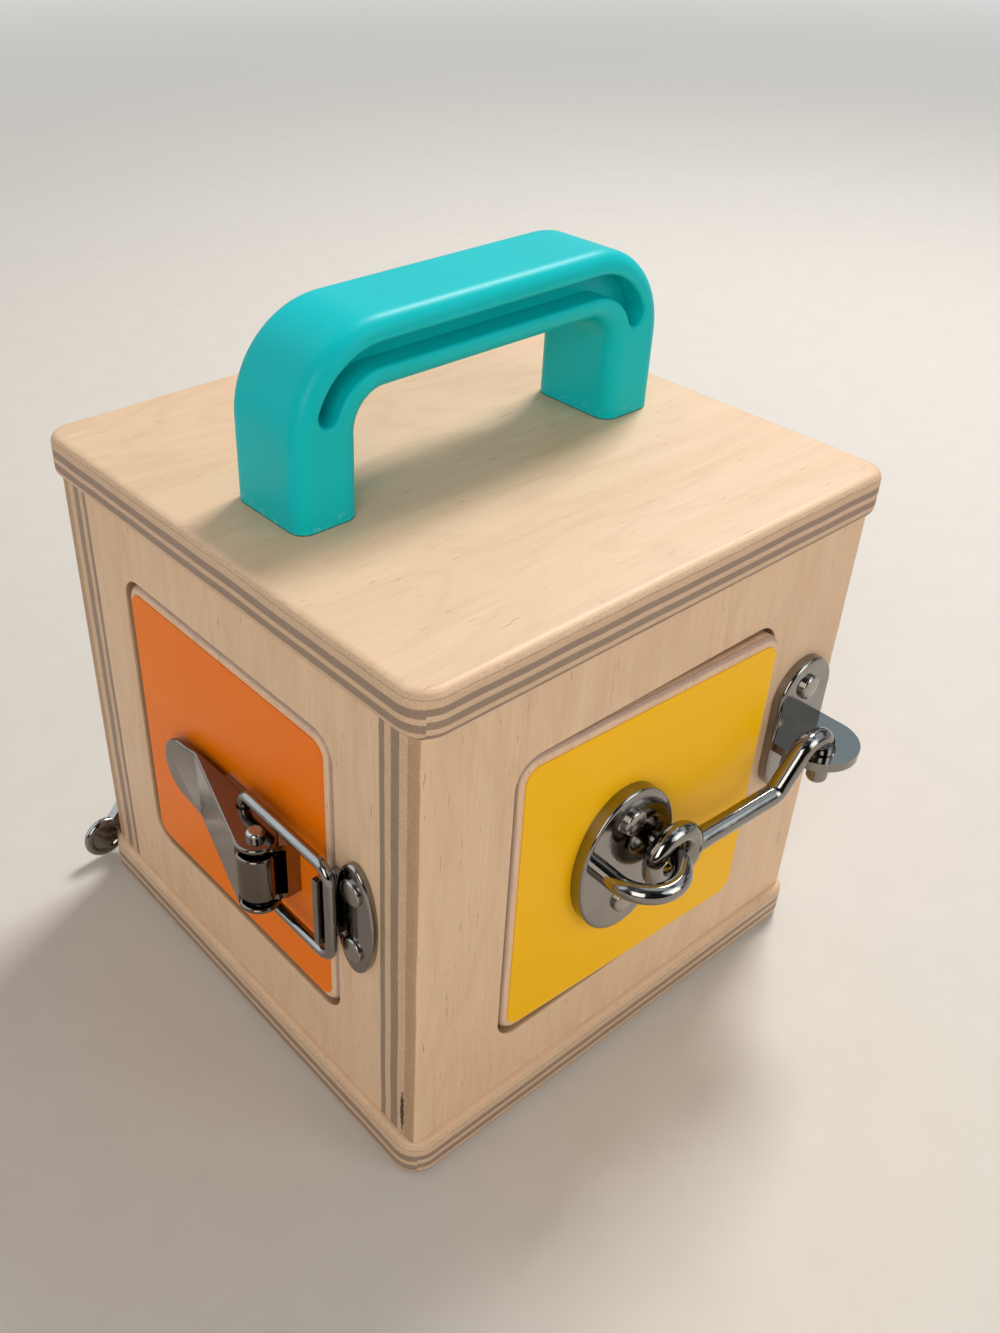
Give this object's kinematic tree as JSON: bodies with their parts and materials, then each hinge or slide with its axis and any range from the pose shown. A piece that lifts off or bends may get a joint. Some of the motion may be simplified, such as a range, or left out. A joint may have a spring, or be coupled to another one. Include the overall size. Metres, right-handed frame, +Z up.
{
  "type": "wooden latch box",
  "caption": "Plywood cube toy with a carrying handle and four small hinged doors, each held by a different metal latch.",
  "frame": {"origin": "centre of the underside, where the box stands", "axes": "+Z up, -Y out of the yellow door, -X out of the orange door, +X along the handle"},
  "size_m": [0.1792, 0.1746, 0.1945],
  "materials": {
    "plywood": "birch plywood, clear satin lacquer",
    "beech": "plain beech dowel",
    "teal_plastic": "satin moulded plastic",
    "nickel": "polished dark nickel plate",
    "steel": "drawn steel",
    "yellow_sheet": "thin sheet, satin gloss",
    "orange_sheet": "thin sheet, satin gloss",
    "green_sheet": "thin sheet, satin gloss",
    "red_sheet": "thin sheet, satin gloss"
  },
  "bodies": {
    "carcass": {"top_panel": "plywood", "bottom_panel": "plywood", "front_wall": "plywood", "back_wall": "plywood", "left_wall": "plywood", "right_wall": "plywood", "panel_dowels": "beech", "handle": "teal_plastic", "handle_screws": "steel", "hook_bracket": "nickel", "hook_bracket_rivets": "nickel", "toggle_strike": "nickel", "toggle_strike_rivets": "nickel", "bolt_keeper": "nickel", "bolt_keeper_rivets": "nickel", "catch_spacer": "nickel", "catch_rivet": "nickel", "front_door_pins": "steel", "left_door_pins": "steel", "back_door_pins": "steel", "right_door_pins": "steel", "front_door_stop": "plywood", "left_door_stop": "plywood", "back_door_stop": "plywood", "right_door_stop": "plywood"},
    "front_door": {"front_door": "plywood", "front_door_facing": "yellow_sheet", "eye_plate": "nickel", "eye_plate_rivets": "nickel", "eye_staple": "nickel"},
    "left_door": {"left_door": "plywood", "left_door_facing": "orange_sheet", "toggle_base": "nickel", "toggle_base_rivets": "nickel", "toggle_pin": "nickel"},
    "back_door": {"back_door": "plywood", "back_door_facing": "green_sheet", "catch_plate": "nickel", "catch_plate_rivet": "nickel"},
    "right_door": {"right_door": "plywood", "right_door_facing": "red_sheet", "bolt_plate": "nickel", "bolt_plate_rivets": "nickel"},
    "hook": {"hook": "nickel"},
    "toggle_lever": {"toggle_lever": "nickel"},
    "toggle_bail": {"toggle_bail": "nickel"},
    "slide_bolt": {"slide_bolt": "nickel", "bolt_knob": "nickel"},
    "swing_catch": {"swing_catch": "nickel"}
  },
  "joints": [
    {"name": "front_door_hinge", "type": "hinge", "parent": "carcass", "child": "front_door", "pos_m": [-0.0388, -0.0681, 0.074], "axis": [0, 0, -1], "range_deg": [-2.3, 97.7]},
    {"name": "left_door_hinge", "type": "hinge", "parent": "carcass", "child": "left_door", "pos_m": [-0.0681, 0.037, 0.0769], "axis": [0, 0, -1], "range_deg": [0, 100]},
    {"name": "back_door_hinge", "type": "hinge", "parent": "carcass", "child": "back_door", "pos_m": [0.0368, 0.0681, 0.0754], "axis": [0, 0, -1], "range_deg": [0, 100]},
    {"name": "right_door_hinge", "type": "hinge", "parent": "carcass", "child": "right_door", "pos_m": [0.0681, -0.0368, 0.0754], "axis": [0, 0, -1], "range_deg": [0, 100]},
    {"name": "hook_lift", "type": "hinge", "parent": "front_door", "child": "hook", "pos_m": [-0.00077, -0.08314, 0.0746], "axis": [-0.0401, -0.9992, 0], "range_deg": [0, 100]},
    {"name": "lever_throw", "type": "hinge", "parent": "left_door", "child": "toggle_lever", "pos_m": [-0.0814, -0.0247, 0.075], "axis": [0, 0, 1], "range_deg": [0, 120]},
    {"name": "bail_swing", "type": "hinge", "parent": "toggle_lever", "child": "toggle_bail", "pos_m": [-0.0775, -0.014, 0.075], "axis": [0, 0, 1], "range_deg": [-120, 0]},
    {"name": "bolt_slide", "type": "slide", "parent": "right_door", "child": "slide_bolt", "axis": [0, 1, 0], "range_m": [0, 0.013]},
    {"name": "catch_swing", "type": "hinge", "parent": "carcass", "child": "swing_catch", "pos_m": [-0.0543, 0.0774, 0.025], "axis": [0, 1, 0], "range_deg": [0, 173]}
  ],
  "couplings": [
    {"joint": "bail_swing", "follows": "lever_throw", "ratio": -1}
  ]
}
